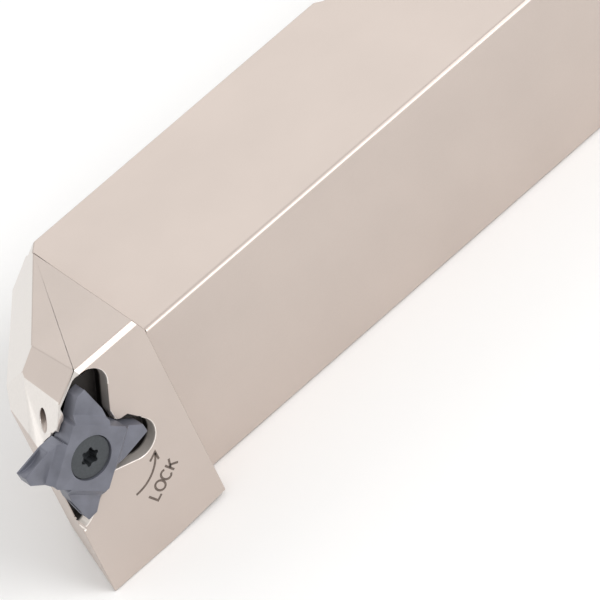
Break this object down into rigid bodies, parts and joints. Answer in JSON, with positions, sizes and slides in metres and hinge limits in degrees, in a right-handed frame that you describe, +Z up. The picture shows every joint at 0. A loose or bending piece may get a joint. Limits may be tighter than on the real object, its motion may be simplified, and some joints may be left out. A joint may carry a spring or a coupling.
{
  "type": "grooving tool holder",
  "caption": "Square-shank lathe tool holder with a coolant nose above a screwed star-shaped grooving insert in a relieved pocket.",
  "frame": {"origin": "on the shank's base, midway along the shank and midway across its width", "axes": "+X along the shank towards its rear face, -Y towards the insert side, +Z up, the way the cutting edge faces"},
  "size_m": [0.15, 0.0341, 0.0319],
  "materials": {
    "holder_steel": "satin nickel plating, warm pale grey",
    "coated_carbide": "blue-grey coated carbide, semi-matt",
    "screw_steel": "dark oxide, semi-gloss",
    "plug_steel": "plain grey steel"
  },
  "bodies": {
    "root": {"holder_body": "holder_steel", "grooving_insert": "coated_carbide", "insert_screw": "screw_steel", "riser_plug": "plug_steel"}
  },
  "joints": []
}
